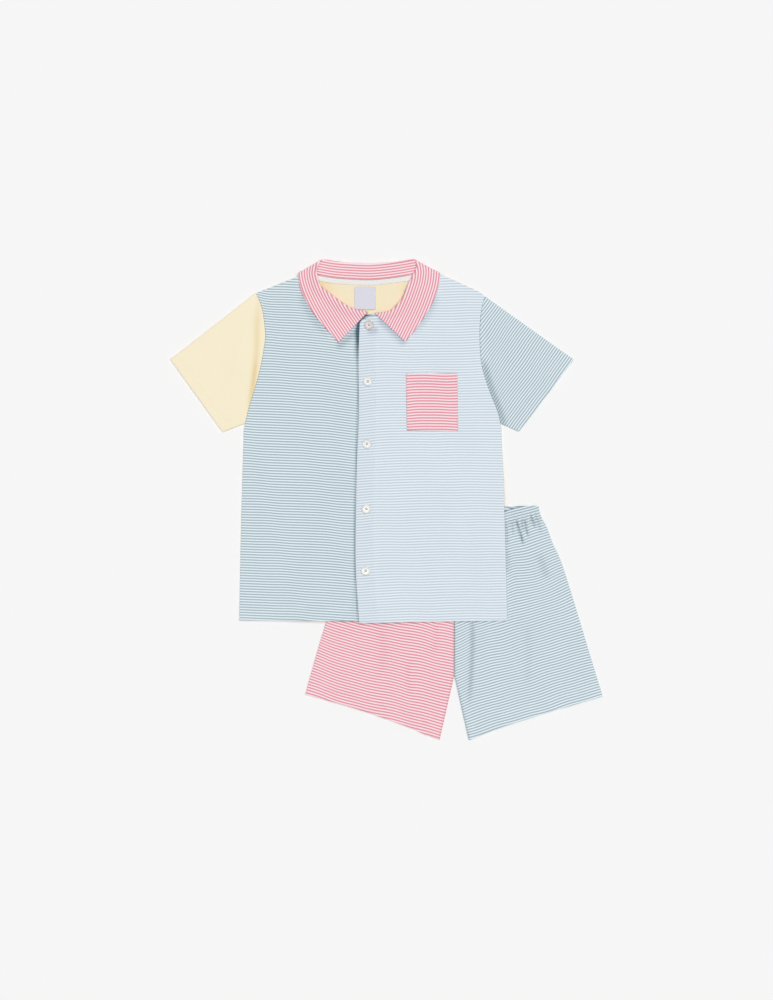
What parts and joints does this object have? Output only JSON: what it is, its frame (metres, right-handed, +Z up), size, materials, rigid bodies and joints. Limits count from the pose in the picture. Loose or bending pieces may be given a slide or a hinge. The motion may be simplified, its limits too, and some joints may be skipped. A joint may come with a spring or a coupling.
{
  "type": "child's pyjama set",
  "caption": "Short-sleeved buttoned pyjama shirt with a turned-down collar and chest pocket, laid flat over matching gathered-waist shorts in mixed striped jersey",
  "frame": {"origin": "middle of the underside, at the centre of the bounding box's base", "axes": "+X across the set to the viewer's right, +Y towards the neck, +Z up from the surface that the set lies on"},
  "size_m": [0.54, 0.6002, 0.0135],
  "materials": {
    "yellow_jersey": "plain fine cotton jersey, pale butter yellow",
    "teal_stripe_jersey": "cotton jersey with fine grey-teal stripes on a pale mint ground",
    "blue_stripe_jersey": "cotton jersey with fine pale blue stripes on a near-white ground",
    "pink_stripe_jersey": "cotton jersey with fine coral pink stripes on a pale pink ground",
    "white_tape": "white cotton binding tape",
    "label_satin": "woven satin label, bare",
    "button_resin": "pearly white polyester resin, four holes"
  },
  "bodies": {
    "root": {"shirt_back": "yellow_jersey", "right_front": "teal_stripe_jersey", "left_front": "blue_stripe_jersey", "right_sleeve": "yellow_jersey", "left_sleeve": "teal_stripe_jersey", "collar": "pink_stripe_jersey", "neck_tape": "white_tape", "neck_label": "label_satin", "chest_pocket": "pink_stripe_jersey", "button_1": "button_resin", "button_2": "button_resin", "button_3": "button_resin", "button_4": "button_resin", "button_5": "button_resin", "shorts_right_back": "pink_stripe_jersey", "shorts_left_back": "teal_stripe_jersey", "shorts_right_front": "pink_stripe_jersey", "shorts_left_front": "teal_stripe_jersey"}
  },
  "joints": []
}
